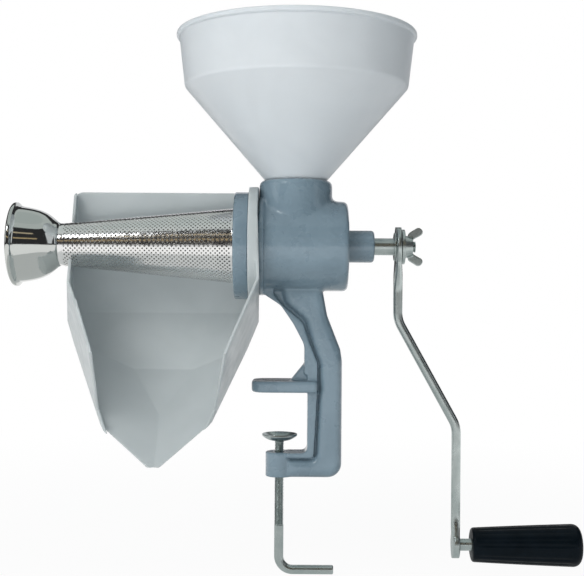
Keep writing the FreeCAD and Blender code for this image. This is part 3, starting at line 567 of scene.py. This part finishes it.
def make_sieve_sheet(cone):
    """Perforated sheet: staggered holes in the flat sheet, which is then rolled up."""
    hole = 0.76 * MM
    hole_steps = 12
    quarter = hole_steps // 4
    spare_rows = 2
    microns_per_metre = 1e6
    points = []
    faces = []
    found = {}

    def vertex(x, y, depth):
        """The number of a point of the sheet, the same one for cells that meet there."""
        key = (round(x * microns_per_metre), round(y * microns_per_metre), depth > 0)
        if key not in found:
            found[key] = len(points)
            points.append(cone.rolled(x, y, depth))
        return found[key]

    half_along = cone.pitch_along / 2
    half_across = cone.pitch_across / 2
    sweep = math.tau * math.sin(cone.half_angle)
    rows = int(cone.side_length / half_along) + 2 * spare_rows
    columns = int(cone.slant_end * sweep / cone.pitch_across) + 2 * spare_rows
    first_slant = cone.slant_start + cone.margin
    last_slant = cone.slant_end - cone.margin
    for row in range(-spare_rows, rows):
        for column in range(-columns // 2, columns // 2 + 1):
            x = cone.slant_start + row * half_along
            y = (column + 0.5 * (row % 2)) * cone.pitch_across
            slant = math.hypot(x, y)
            edge = (sweep / 2 - abs(math.atan2(y, x))) * slant
            if slant < first_slant or slant > last_slant or edge < cone.seam:
                continue
            is_clear_of_ends = first_slant + cone.plain_along < slant < last_slant - cone.plain_along
            has_hole = is_clear_of_ends and edge > cone.seam + cone.plain_across
            corners = [(x + half_along, y), (x, y + half_across), (x - half_along, y), (x, y - half_across)]
            rims = {}
            for depth in (0.0, cone.sheet):
                ring = [vertex(*corner, depth) for corner in corners]
                if not has_hole:
                    faces.append(tuple(ring) if depth == 0 else tuple(reversed(ring)))
                    continue
                rim = []
                for k in range(hole_steps):
                    turn = math.tau * k / hole_steps
                    rim.append(vertex(x + hole * math.cos(turn), y + hole * math.sin(turn), depth))
                rims[depth] = rim
                for side in range(4):
                    arc = [rim[(side * quarter + k) % hole_steps] for k in range(quarter + 1)]
                    face = (ring[side], ring[(side + 1) % 4], *reversed(arc))
                    faces.append(face if depth == 0 else tuple(reversed(face)))
            if has_hole:
                outside = rims[0.0]
                inside = rims[cone.sheet]
                for k in range(hole_steps):
                    after = (k + 1) % hole_steps
                    faces.append((outside[k], outside[after], inside[after], inside[k]))
    mesh = bpy.data.meshes.new("sieve_perforated_sheet")
    mesh.from_pydata(points, [], faces)
    mesh.update()
    holes = place_mesh("sieve_perforated_sheet", mesh, sharp_angle=50.0)
    fitted(holes, "casting", "stainless", "sieve_cone")


def make_sieve_ends(cone):
    """A hem at the small end, and the flange that the lock ring holds."""
    band = cone.margin + cone.plain_along
    inside = cone.sheet + cone.proud

    def on_side(distance, depth):
        """(along, radius) at a distance along the cone's side from its small end."""
        x, radius = cone.profile(cone.slant_start + distance, depth)
        return (x - cone.start_x, radius)

    origin = Vector((cone.start_x, 0, SHAFT_HEIGHT))
    hem = [
        (*on_side(0, -cone.proud), 0.2 * MM),
        (*on_side(band, -cone.proud), 0.1 * MM),
        (*on_side(band, inside), 0.1 * MM),
        (*on_side(0, inside), 0.2 * MM),
    ]
    hem_piece = turned("sieve_small_hem", eased(hem, segments=3), origin, (1, 0, 0), 96)
    collar = [
        (*on_side(cone.side_length - band, -cone.proud), 0.1 * MM),
        (*on_side(cone.side_length, -cone.proud), 0.6 * MM),
        (cone.length, cone.rim, 0.3 * MM),
        (cone.length + cone.flange, cone.rim, 0.3 * MM),
        (cone.length + cone.flange, cone.large - cone.sheet, 1.0 * MM),
        (*on_side(cone.side_length - band, inside), 0.1 * MM),
    ]
    collar_piece = turned("sieve_flange", eased(collar, segments=4), origin, (1, 0, 0), 128)
    for piece in (hem_piece, collar_piece):
        fitted(piece, "casting", "stainless", "sieve_cone")


def make_sieve_seam(cone):
    """The lapped seam along the back of the sieve."""
    rows = 60
    first_share = 0.006
    covered_share = 0.988
    half_width = cone.seam + 0.62 * cone.pitch_across
    inside = cone.sheet + cone.proud
    ribbon = [
        (-1.0, inside),
        (-1.0, -cone.proud * 0.5),
        (-0.8, -cone.proud),
        (0.8, -cone.proud),
        (1.0, -cone.proud * 0.5),
        (1.0, inside),
    ]
    points = []
    for i in range(rows + 1):
        slant = cone.slant_start + cone.side_length * (first_share + covered_share * i / rows)
        for share, depth in ribbon:
            turn = math.pi + share * half_width / slant / math.sin(cone.half_angle)
            points.append(beside_shaft(*cone.profile(slant, depth), turn))
    piece = finish_mesh("sieve_seam", points, tube_faces(rows, len(ribbon)))
    fitted(piece, "casting", "stainless", "sieve_cone")


def make_sieve():
    """A cone of perforated sheet, with plain ends and a lapped seam."""
    cone = SieveCone()
    make_sieve_sheet(cone)
    make_sieve_ends(cone)
    make_sieve_seam(cone)


def make_bell():
    """A spun bell: a sleeve in the sieve, a deep bowl and a rolled bead at its mouth."""
    low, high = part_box("bell_outlet")
    depth = 40.5 * MM
    wall = 1.1 * MM
    sleeve = 17.1 * MM
    bore = sleeve - wall
    bead = 2.3 * MM
    bead_radius = 33.0 * MM + bead * 0.55
    lip = high.y - 0.1 * MM
    # Outside of the wall from the rim to the neck: place along the axis and radius, in millimetres
    outside = [(3.2, 33.0), (8.0, 32.8), (13.0, 32.0), (18.5, 30.9), (24.0, 29.3), (29.0, 27.0),
               (33.0, 24.2), (36.0, 21.6), (38.3, 19.6), (40.5, 18.3)]
    flare = [(a * MM, r * MM) for a, r in outside]
    roll_steps = 14
    roll_start = -20
    roll_sweep = 300
    roll = []
    for k in range(roll_steps + 1):
        angle = math.radians(roll_start - roll_sweep * k / roll_steps)
        along = bead + bead * 0.98 * math.cos(angle)
        roll.append((along, min(lip, bead_radius - bead * math.sin(angle))))
    inner = [(a - 0.2 * MM, r - wall) for a, r in flare]
    inner[-1] = (depth - 0.5 * MM, bore)
    sleeve_end = high.x - low.x
    outline = [
        *reversed(flare),
        *reversed(roll),
        *inner[1:],
        (sleeve_end, bore),
        (sleeve_end, sleeve),
        (depth + 0.4 * MM, sleeve),
    ]
    origin = Vector((low.x, 0, SHAFT_HEIGHT))
    piece = turned("waste_bell", outline, origin, (1, 0, 0), 160, sharp_angle=50.0)
    fitted(piece, "casting", "polished_steel", "bell_outlet")


# Chute


def make_chute():
    """The folded scoop with softened folds."""
    piece = melted("juice_chute", "chute", voxel=0.7 * MM, rounds=5)
    fitted(piece, "chute", "chute_plastic", "chute")


# Shaft, crank and handle


def make_shaft():
    """The shaft with its chamfered shoulder and threaded stud."""
    low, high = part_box("drive_shaft")
    radius = high.y
    chamfer = 0.8 * MM
    shoulder = SHOULDER_X - low.x
    shoulder_chamfer = 0.6 * MM
    stud = 4.9 * MM
    stud_chamfer = 1.1 * MM
    end = high.x - low.x
    pitch = 1.5 * MM
    rows_per_pitch = 8
    thread = 0.8 * MM
    thread_start = shoulder + 2.0 * MM
    thread_end = end - 0.4 * MM
    outline = [
        (0.0, 0.0),
        (0.0, radius - chamfer),
        (chamfer, radius),
        (shoulder - shoulder_chamfer, radius),
        (shoulder, radius - shoulder_chamfer),
        (shoulder, stud),
    ]
    rows = int((end - shoulder) / (pitch / rows_per_pitch))
    for i in range(1, rows):
        outline.append((shoulder + (end - shoulder) * i / rows, stud))
    outline += [(end, stud - stud_chamfer), (end, 0.0)]

    def threaded(height, reach, angle):
        """The radius, with a thread along most of the stud."""
        if height < thread_start or height > thread_end:
            return reach
        return reach - thread_depth(height, angle, pitch, thread)

    piece = turned("crank_shaft", outline, Vector((low.x, 0, SHAFT_HEIGHT)), (1, 0, 0), 48, threaded)
    fitted(piece, "crank", "zinc_steel", "drive_shaft")


def make_ring_piece(name, node, body, slot, bore, ease):
    """A plain ring about the X axis with eased edges, as large as its node."""
    low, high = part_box(node)
    centre = (low + high) / 2
    radius = (high.y - low.y) / 2
    width = high.x - low.x
    corners = [(0.0, bore, ease), (0.0, radius, ease), (width, radius, ease), (width, bore, ease)]
    piece = turned(name, eased(corners, segments=4), Vector((low.x, centre.y, centre.z)), (1, 0, 0), 72)
    fitted(piece, body, slot, node)


def make_crank():
    """A bent rod, flattened to a round eye on the shaft and to a paddle for the spindle."""
    rod = 4.0 * MM
    eye = 17.2 * MM
    eye_half = 2.55 * MM
    paddle = 11.6 * MM
    paddle_half = 3.2 * MM
    upper_x = SHOULDER_X + eye_half
    lower_x = upper_x + 51.5 * MM
    upper_bend = 62.6 * MM
    lower_bend = -29.6 * MM
    bend = 24.0 * MM
    spacing = 1.2 * MM
    thinnest = 0.02 * MM
    top = SHAFT_HEIGHT + eye
    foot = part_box("crank_arm")[0].z
    corners = [(upper_x, top), (upper_x, upper_bend, bend), (lower_x, lower_bend, bend), (lower_x, foot)]
    route = route_of(corners, spacing)
    total = route[-1][2]

    def away(distance, disc, start, end):
        """0 near a disc and 1 far from it, with the start and end in radii of the disc."""
        return smooth_step(start * disc, end * disc, distance)

    def width_at(distance, disc):
        """Half the width near an end that is flattened to a disc."""
        from_centre = distance - disc
        round_part = math.sqrt(max(disc * disc - from_centre * from_centre, 0.0))
        if from_centre < 0.5 * disc:
            return round_part
        taper = rod + (0.72 * disc - rod) * (1 - away(from_centre, disc, 0.5, 2.3))
        return max(round_part, taper)

    def section(distance, angle):
        """Half the width and half the thickness: round in the middle and flat towards the ends."""
        from_end = min(distance, total - distance)
        disc, flat = (eye, eye_half) if distance < total / 2 else (paddle, paddle_half)
        width = max(width_at(from_end, disc), thinnest)
        thick = flat + (rod - flat) * away(from_end, disc, 1.3, 2.6)
        power = 0.42 + 0.58 * away(from_end, disc, 1.2, 2.5)
        cosine = math.cos(angle)
        sine = math.sin(angle)
        return (width * math.copysign(abs(cosine) ** power, cosine),
                thick * math.copysign(abs(sine) ** power, sine))

    # Closer steps near the ends, where the width changes fast
    close_zone = 4 * MM
    close_steps = 8
    fine = []
    for (point, direction, distance), after in zip(route, route[1:]):
        parts = close_steps if min(distance, total - distance) < close_zone else 1
        for k in range(parts):
            share = k / parts
            fine.append((point.lerp(after[0], share), direction.lerp(after[1], share).normalized(),
                         distance + (after[2] - distance) * share))
    fine.append(route[-1])
    piece = swept("crank_rod", fine, section, 40)
    fitted(piece, "crank", "zinc_steel", "crank_arm")


def make_wing_nut():
    """The nut and its wings with softened edges."""
    piece = melted("crank_wing_nut", "wing_nut", voxel=0.3 * MM, rounds=4)
    fitted(piece, "nut", "zinc_steel", "wing_nut")


def make_spindle():
    """The handle's pin, with a peened head on the paddle."""
    low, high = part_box("handle_spindle")
    height = (low.z + high.z) / 2
    radius = high.y
    rivet = 3.88 * MM
    paddle = 6.4 * MM
    length = high.x - low.x
    corners = [
        (0.0, 0.0),
        (0.0, rivet, 0.5 * MM),
        (paddle, rivet),
        (paddle, radius, 0.5 * MM),
        (length, radius, 0.8 * MM),
        (length, 0.0),
    ]
    outline = eased(corners, closed=False, segments=3)
    piece = turned("grip_spindle", outline, Vector((low.x, 0, height)), (1, 0, 0), 48)
    fitted(piece, "crank", "zinc_steel", "handle_spindle")


def make_grip():
    """A tapered handle with shallow lengthwise flutes and a domed end."""
    low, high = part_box("handle_grip")
    height = (low.z + high.z) / 2
    length = high.x - low.x
    bore = 5.3 * MM
    inner = 14.8 * MM
    outer = (high.z - low.z) / 2
    cap = 9.0 * MM
    cap_depth = 9.0 * MM
    cap_chamfer = 0.5 * MM
    flutes = 18
    flute_depth = 0.45 * MM
    edge = 2.6 * MM
    dome = 7.0 * MM
    rounded_ends = 9.6 * MM
    profile = [
        (0.0, bore),
        (0.0, inner - 2.4 * MM),
        (0.35 * MM, inner - 1.2 * MM),
        (1.2 * MM, inner - 0.3 * MM),
        (edge, inner),
    ]
    steps = 26
    swell = 0.2 * MM
    for i in range(1, steps):
        share = i / steps
        radius = inner + (outer - inner) * share + swell * math.sin(math.pi * share)
        profile.append((edge + (length - rounded_ends) * share, radius))
    dome_steps = 9
    dome_fall = outer - cap - edge
    for k in range(dome_steps + 1):
        angle = math.pi / 2 * k / dome_steps
        profile.append((length - dome + dome * math.sin(angle) * 0.98,
                        outer - dome_fall * (1 - math.cos(angle)) * 0.92))
    profile += [
        (length, cap + 1.2 * MM),
        (length - cap_chamfer, cap),
        (length - cap_depth, cap),
        (length - cap_depth, bore),
    ]

    def fluted(along, radius, angle):
        """The radius with the flutes, which fade out towards both ends."""
        if radius < inner - 0.5 * MM:
            return radius
        fade_in = smooth_step(3 * MM, 9 * MM, along)
        fade_out = smooth_step(length - 13 * MM, length - 6 * MM, along)
        fade = fade_in * (1 - fade_out)
        wave = 0.5 - 0.5 * math.cos(flutes * angle)
        return radius - flute_depth * fade * wave * wave

    piece = turned("handle_grip_body", profile, Vector((low.x, 0, height)), (1, 0, 0), 180, fluted)
    fitted(piece, "grip", "grip_plastic", "handle_grip")


def make_grip_cap():
    """The round plug in the handle's end."""
    low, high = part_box("grip_end_cap")
    height = (low.z + high.z) / 2
    width = high.x - low.x
    radius = high.y
    chamfer = 0.3 * MM
    dome = 1.4 * MM
    dome_steps = 8
    dome_power = 0.6
    outline = [(0.0, 0.0), (0.0, radius - chamfer), (chamfer, radius), (width - dome, radius)]
    for k in range(1, dome_steps):
        angle = math.pi / 2 * k / dome_steps
        outline.append((width - dome + dome * math.sin(angle), radius * math.cos(angle) ** dome_power))
    outline.append((width, 0.0))
    piece = turned("handle_end_plug", outline, Vector((low.x, 0, height)), (1, 0, 0), 72)
    fitted(piece, "grip", "grip_plastic", "grip_end_cap")


# Clamp


def make_clamp_screw():
    """A rod bent square at its foot, threaded along its upper part, with a stem for the pad."""
    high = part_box("clamp_screw")[1]
    radius = 4.0 * MM
    bend = 12.0 * MM
    pitch = 1.25 * MM
    row = pitch / 8
    thread = 0.72 * MM
    thread_start = 1.0 * MM
    thread_end = 74.0 * MM
    top = -42.9 * MM
    foot = -155.2 * MM
    spacing = 1.6 * MM
    chamfer = 0.8 * MM
    corners = [(0.0, top), (0.0, foot, bend), (high.x, foot)]
    straight = [(Vector((0, 0, top - row * k)), Vector((0, 0, -1)), row * k)
                for k in range(int((thread_end + 2 * pitch) / row))]
    reach = straight[-1][2]
    route = straight + [station for station in route_of(corners, spacing) if station[2] > reach + 2 * row]
    total = route[-1][2]

    def section(distance, angle):
        """A round rod, threaded along its upper part and chamfered at both of its ends."""
        fade_in = smooth_step(thread_start, 2.5 * MM, distance)
        fade_out = smooth_step(thread_end - 2 * MM, thread_end, distance)
        fade = fade_in * (1 - fade_out)
        size = radius - fade * thread_depth(distance, angle, pitch, thread)
        size -= max(0.0, thread_start - distance) * 0.8
        size -= max(0.0, chamfer - (total - distance)) * 0.9
        return (size * math.cos(angle), size * math.sin(angle))

    end = route[-1]
    route = route[:-1] + [(end[0] - end[1] * chamfer, end[1], total - chamfer), end]
    piece = swept("clamp_screw_rod", route, section, 32)
    fitted(piece, "screw", "zinc_steel", "clamp_screw")
    stem = 2.6 * MM
    stem_root = 0.2 * MM
    stem_end = high.z - top + stem_root
    outline = [(0.0, 0.0), (0.0, stem), (stem_end, stem), (stem_end, 0.0)]
    stem_piece = turned("clamp_screw_stem", outline, Vector((0, 0, top - stem_root)), (0, 0, 1), 32)
    fitted(stem_piece, "screw", "zinc_steel", "clamp_screw")


def make_pad():
    """A pressed dish that turns on the screw's stem."""
    low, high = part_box("clamp_pad")
    depth = high.z - low.z
    rim = high.x
    stem = 2.66 * MM
    hub = 6.4 * MM
    sheet = 1.5 * MM
    steps = 9
    outer = []
    inner = []
    for k in range(steps + 1):
        share = k / steps
        radius = hub + (rim - hub) * share
        lift = (depth - sheet) * share ** 1.7
        outer.append((lift, radius))
        inner.append((lift + sheet, radius - 0.25 * MM * share))
    outline = [
        (0.0, stem),
        *outer,
        (depth - 0.4 * MM, rim - 0.02 * MM),
        *reversed(inner),
        (sheet + 0.2 * MM, stem),
    ]

    def wavy(along, radius, angle):
        """The radius with an uneven edge, as pressed sheet has."""
        return radius - 0.22 * MM * (radius / rim) ** 4 * (1 + math.sin(3 * angle + 0.7))

    piece = turned("clamp_dish", outline, Vector((0, 0, low.z)), (0, 0, 1), 72, wavy)
    fitted(piece, "pad", "zinc_steel", "clamp_pad")


def finish_plain_nodes():
    """Gives every node its material, for those that no piece replaces."""
    slots = {entry["node"]: entry["material_slot"] for entry in frame["record"]["subparts"]}
    for name, node in NODES.items():
        node.data.materials.clear()
        node.data.materials.append(MATERIALS[slots[name]])


# Stage

# Clear of the clamp screw at its lowest
FLOOR_HEIGHT = cad_box[0].z - 9 * MM
ROOM_RADIUS = 1.9
ROOM_TOP = 4.2
DARK_TOP = 2.3
WINDOW_RADIUS = 1.8
LAMP_TARGET = (0.0, 0.0, 0.08)


def light_path_mask(tree):
    """1 for rays that show the background: from the camera, off gloss and through glass."""
    path = tree.nodes.new("ShaderNodeLightPath")
    total = path.outputs["Is Camera Ray"]
    for name in ("Is Glossy Ray", "Is Transmission Ray"):
        highest = tree.nodes.new("ShaderNodeMath")
        highest.operation = "MAXIMUM"
        tree.links.new(total, highest.inputs[0])
        tree.links.new(path.outputs[name], highest.inputs[1])
        total = highest.outputs["Value"]
    return total


def blended(tree, share, first, second, output_kind):
    """Two shaders mixed by a share, sent to the output."""
    mix = tree.nodes.new("ShaderNodeMixShader")
    output = tree.nodes.new(output_kind)
    tree.links.new(share, mix.inputs["Fac"])
    tree.links.new(first, mix.inputs[1])
    tree.links.new(second, mix.inputs[2])
    tree.links.new(mix.outputs["Shader"], output.inputs["Surface"])


def light_node(tree, kind, colour, strength):
    """The output of a node that gives plain light."""
    node = tree.nodes.new(kind)
    node.inputs["Color"].default_value = (*colour, 1.0)
    node.inputs["Strength"].default_value = strength
    return node.outputs[0]


def make_world():
    """Plain soft light from all round, with a white background."""
    world = bpy.data.worlds.new("studio")
    bpy.context.scene.world = world
    world.use_nodes = True
    tree = world.node_tree
    tree.nodes.clear()
    soft = light_node(tree, "ShaderNodeBackground", (0.95, 0.98, 1.0), 0.46)
    white = light_node(tree, "ShaderNodeBackground", (1, 1, 1), 1.0)
    blended(tree, light_path_mask(tree), soft, white, "ShaderNodeOutputWorld")


def make_floor():
    """A pale floor that fades into the white background, with the object's faint shadow."""
    half = 8.0
    z = FLOOR_HEIGHT
    points = [(-half, -half, z), (half, -half, z), (half, half, z), (-half, half, z)]
    floor = finish_mesh("pale_floor", points, [(0, 1, 2, 3)])
    material = bpy.data.materials.new("pale_floor")
    material.use_nodes = True
    tree = material.node_tree
    tree.nodes.clear()
    matt = tree.nodes.new("ShaderNodeBsdfDiffuse")
    matt.inputs["Color"].default_value = (0.86, 0.86, 0.86, 1)
    white = light_node(tree, "ShaderNodeEmission", (1, 1, 1), 1.0)
    place = tree.nodes.new("ShaderNodeTexCoord").outputs["Object"]
    far = tree.nodes.new("ShaderNodeVectorMath")
    far.operation = "LENGTH"
    tree.links.new(place, far.inputs[0])
    fade = tree.nodes.new("ShaderNodeMapRange")
    fade.interpolation_type = "SMOOTHSTEP"
    fade.inputs["From Min"].default_value = 0.25
    fade.inputs["From Max"].default_value = 1.1
    fade.inputs["To Min"].default_value = 0.93
    fade.inputs["To Max"].default_value = 1.0
    tree.links.new(far.outputs["Value"], fade.inputs["Value"])
    share = tree.nodes.new("ShaderNodeMath")
    share.operation = "MULTIPLY"
    tree.links.new(light_path_mask(tree), share.inputs[0])
    tree.links.new(fade.outputs["Result"], share.inputs[1])
    blended(tree, share.outputs["Value"], matt.outputs["BSDF"], white, "ShaderNodeOutputMaterial")
    floor.data.materials.append(material)


def glow(name, colour):
    """A material that is a plain light of one colour."""
    material = bpy.data.materials.new(name)
    material.use_nodes = True
    tree = material.node_tree
    tree.nodes.clear()
    plain = light_node(tree, "ShaderNodeEmission", colour, 1.0)
    output = tree.nodes.new("ShaderNodeOutputMaterial")
    tree.links.new(plain, output.inputs["Surface"])
    return material


def stage_card(name, points, faces, colour):
    """A plain card that nothing but gloss shows."""
    card = finish_mesh(name, points, faces)
    card.data.materials.append(glow(name, colour))
    card.visible_camera = False
    card.visible_diffuse = False
    card.visible_transmission = False
    card.visible_volume_scatter = False
    card.visible_shadow = False


def make_card(name, azimuths, heights, colour, radius=WINDOW_RADIUS):
    """A curved card round the object. Azimuth 0 is at the camera and 90 at the crank."""
    start, end = azimuths
    step_angle = 6
    steps = max(2, round(abs(end - start) / step_angle))
    points = []
    for k in range(steps + 1):
        angle = math.radians(start + (end - start) * k / steps)
        for height in heights:
            points.append((radius * math.sin(angle), -radius * math.cos(angle), height))
    faces = [(2 * k, 2 * k + 1, 2 * k + 3, 2 * k + 2) for k in range(steps)]
    stage_card(name, points, faces, colour)


def make_disc(name, height, radius, colour):
    """A level disc over or under the object."""
    steps = 48
    points = []
    for k in range(steps):
        angle = math.tau * k / steps
        points.append((radius * math.cos(angle), radius * math.sin(angle), height))
    stage_card(name, points, [tuple(range(steps))], colour)


def make_cards():
    """A dark room with a grey ceiling and bright windows, which gives polished metal its contrast."""
    make_disc("grey_top", ROOM_TOP, ROOM_RADIUS, (0.5, 0.55, 0.54))
    make_disc("grey_table", FLOOR_HEIGHT + MM, 0.5, (0.6, 0.62, 0.62))
    make_card("dark_room", (-180, 180), (0.06, DARK_TOP), (0.035, 0.035, 0.037), ROOM_RADIUS)
    make_card("grey_ceiling", (-180, 180), (DARK_TOP, ROOM_TOP), (0.56, 0.6, 0.59), ROOM_RADIUS)
    make_card("front_beam", (-50, 30), (0.6, 0.72), (0.55, 0.42, 0.24))
    make_card("front_shelf", (-60, 20), (1.2, 1.36), (0.6, 0.5, 0.35))
    make_card("left_window", (-80, -58), (0.2, 1.6), (1.0, 1.0, 1.0))
    make_card("right_window", (62, 74), (0.2, 1.4), (0.7, 0.72, 0.75))
    make_card("bright_window", (-45, -31), (1.2, 1.7), (9.0, 9.2, 9.4), 1.75)
    make_card("back_window", (140, 200), (0.3, 1.3), (0.8, 0.8, 0.82))


def add_lamp(name, place, size, watts, colour):
    """A soft lamp that faces the object and that gloss doesn't show."""
    lamp = bpy.data.lights.new(name, "AREA")
    lamp.shape = "RECTANGLE"
    lamp.size, lamp.size_y = size
    lamp.energy = watts
    lamp.color = colour
    holder = bpy.data.objects.new(name, lamp)
    holder.visible_glossy = False
    bpy.context.scene.collection.objects.link(holder)
    holder.location = place
    holder.rotation_mode = "QUATERNION"
    holder.rotation_quaternion = (Vector(LAMP_TARGET) - Vector(place)).to_track_quat("-Z", "Y")


def make_lights():
    """A main lamp at the upper left, and weaker ones in front, low down and above."""
    add_lamp("key_lamp", (-1.1, -1.45, 1.15), (1.1, 0.9), 15.0, (1.0, 0.99, 0.98))
    add_lamp("front_lamp", (0.2, -1.9, 0.3), (0.9, 0.7), 2.5, (0.97, 0.99, 1.0))
    add_lamp("low_lamp", (-0.5, -1.1, -0.12), (1.2, 0.2), 7.0, (1.0, 1.0, 1.0))
    add_lamp("top_lamp", (0.0, 0.6, 1.8), (1.4, 1.0), 4.0, (1.0, 1.0, 1.0))


def make_camera():
    """A camera level with the middle of the object, at a distance that was fitted to the photograph."""
    distance = 957 * MM
    centre_x = 10.0 * MM
    centre_z = 89.6 * MM
    photo_pixels = 584
    pixel_size = 0.87
    frame_width = photo_pixels * pixel_size * MM
    roll = math.radians(-0.4)
    camera = bpy.data.cameras.new("camera")
    camera.sensor_width = 36.0
    camera.lens = camera.sensor_width * distance / frame_width
    camera.clip_start = 0.05
    camera.clip_end = 50.0
    holder = bpy.data.objects.new("camera", camera)
    bpy.context.scene.collection.objects.link(holder)
    holder.location = (centre_x, -distance, centre_z)
    holder.rotation_euler = (Matrix.Rotation(roll, 3, "Y") @ Matrix.Rotation(math.pi / 2, 3, "X")).to_euler()
    bpy.context.scene.camera = holder


finish_plain_nodes()
make_casting()
make_hopper()
make_lock_ring()
make_sieve()
make_bell()
make_chute()
make_shaft()
make_ring_piece("crank_collar", "shaft_collar", "crank", "zinc_steel", 7.42 * MM, 0.25 * MM)
make_ring_piece("crank_flat_washer", "crank_washer", "washer", "zinc_steel", 5.1 * MM, 0.35 * MM)
make_crank()
make_wing_nut()
make_spindle()
make_grip()
make_grip_cap()
make_clamp_screw()
make_pad()
make_world()
make_floor()
make_cards()
make_lights()
make_camera()
bpy.context.scene.view_settings.view_transform = "Standard"
